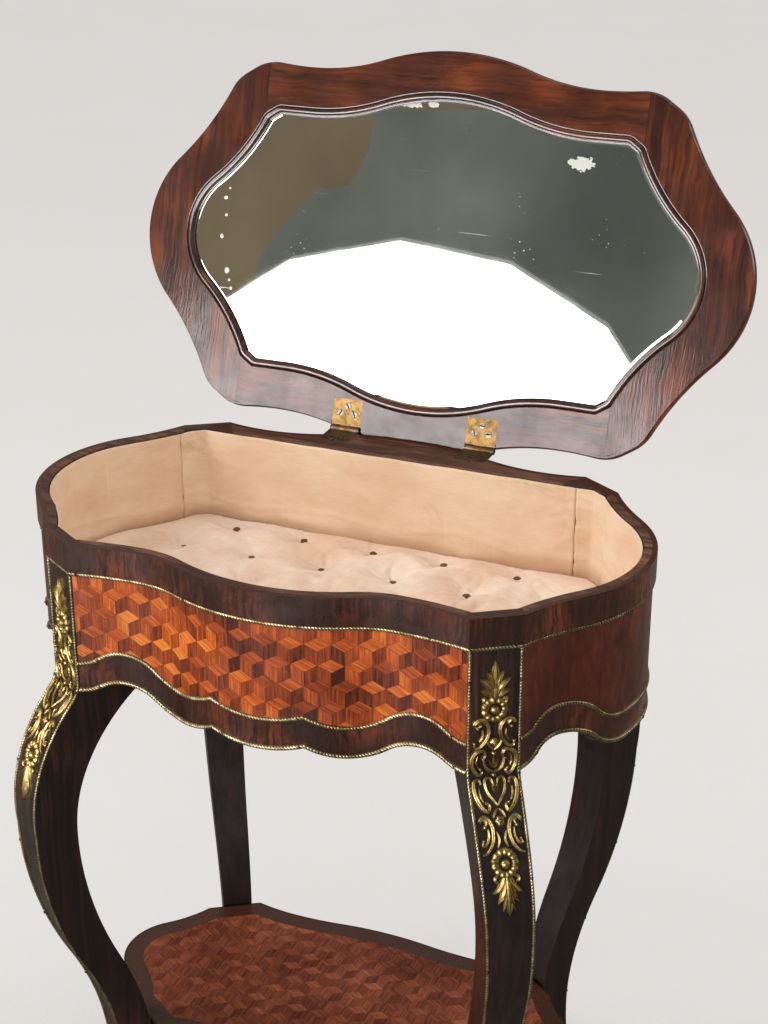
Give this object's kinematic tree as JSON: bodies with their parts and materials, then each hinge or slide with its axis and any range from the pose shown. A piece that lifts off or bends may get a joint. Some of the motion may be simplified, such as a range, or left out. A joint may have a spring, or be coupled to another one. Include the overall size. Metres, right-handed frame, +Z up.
{
  "type": "dressing table",
  "caption": "Serpentine dressing table on cabriole legs with brass mounts, a lower shelf, and a hinged lid carrying a mirror over a silk lined compartment.",
  "frame": {"origin": "on the floor under the middle of the bounding box, with the lid open", "axes": "+Z up, +X to the right as one faces the table, -Y out of the front"},
  "size_m": [0.655, 0.5345, 1.0892],
  "materials": {
    "dark_rosewood": "dark rosewood under a glossy aged lacquer",
    "leg_rosewood": "near black stained rosewood, glossy aged lacquer",
    "lid_mahogany": "dark red mahogany, polished, with scratches and wear",
    "side_mahogany": "plain dark red mahogany veneer, polished",
    "cube_parquetry": "tumbling block cube parquetry in three woods, polished",
    "shelf_parquetry": "dark cube parquetry, glossy",
    "shelf_crossband": "dark crossbanding, glossy",
    "carcass_wood": "plain brown carcass wood, worn",
    "gilt_bronze": "cast and chased gilt brass, aged, dark in the hollows",
    "bead_brass": "pressed brass bead strip, antique patina",
    "hinge_brass": "rolled brass, lightly tarnished",
    "hinge_patina": "brass, dark patina",
    "screw_steel": "slotted steel screws, worn bright",
    "lining_silk": "peach silk lining, stained with age",
    "cushion_cloth": "pale pink cloth, soft, buttoned",
    "cushion_button": "small covered buttons, dark",
    "antique_mirror": "old silvered glass with foxing and scratches"
  },
  "bodies": {
    "table": {"apron_bands": "dark_rosewood", "apron_beads": "bead_brass", "case_floor": "carcass_wood", "cushion": "cushion_cloth", "cushion_buttons": "cushion_button", "floor_cleats": "carcass_wood", "frieze_band": "dark_rosewood", "frieze_bead": "bead_brass", "front_marquetry": "cube_parquetry", "front_wall": "carcass_wood", "hinge_case_leaf_left": "hinge_patina", "hinge_case_leaf_right": "hinge_patina", "hinge_case_screws": "screw_steel", "hinge_pin_left": "hinge_patina", "hinge_pin_right": "hinge_patina", "left_veneer": "side_mahogany", "left_wall": "carcass_wood", "leg_beads_front_left": "bead_brass", "leg_beads_front_right": "bead_brass", "leg_beads_rear_left": "bead_brass", "leg_beads_rear_right": "bead_brass", "leg_front_left": "leg_rosewood", "leg_front_right": "leg_rosewood", "leg_rear_left": "leg_rosewood", "leg_rear_right": "leg_rosewood", "lining_front": "lining_silk", "lining_left": "lining_silk", "lining_rear": "lining_silk", "lining_right": "lining_silk", "mount_front_left": "gilt_bronze", "mount_front_right": "gilt_bronze", "mount_rear_left": "gilt_bronze", "mount_rear_right": "gilt_bronze", "panel_beads": "bead_brass", "rear_marquetry": "cube_parquetry", "rear_wall": "carcass_wood", "right_veneer": "side_mahogany", "right_wall": "carcass_wood", "sabot_front_left": "gilt_bronze", "sabot_front_right": "gilt_bronze", "sabot_rear_left": "gilt_bronze", "sabot_rear_right": "gilt_bronze", "shelf_banding": "shelf_crossband", "shelf_board": "carcass_wood", "shelf_dowels": "carcass_wood", "shelf_edge_bead": "bead_brass", "shelf_marquetry": "shelf_parquetry"},
    "lid": {"lid_board": "carcass_wood", "lid_frame": "lid_mahogany", "lid_edge": "dark_rosewood", "lid_top_marquetry": "cube_parquetry", "lid_top_banding": "dark_rosewood", "mirror_glass": "antique_mirror", "mirror_backing": "carcass_wood", "mirror_moulding": "dark_rosewood", "hinge_lid_leaf_left": "hinge_brass", "hinge_lid_leaf_right": "hinge_brass", "hinge_lid_screws": "screw_steel"}
  },
  "joints": [
    {"name": "lid_hinge", "type": "hinge", "parent": "table", "child": "lid", "pos_m": [0, 0.1278, 0.7152], "axis": [1, 0, 0], "range_deg": [0, 107.8]}
  ]
}
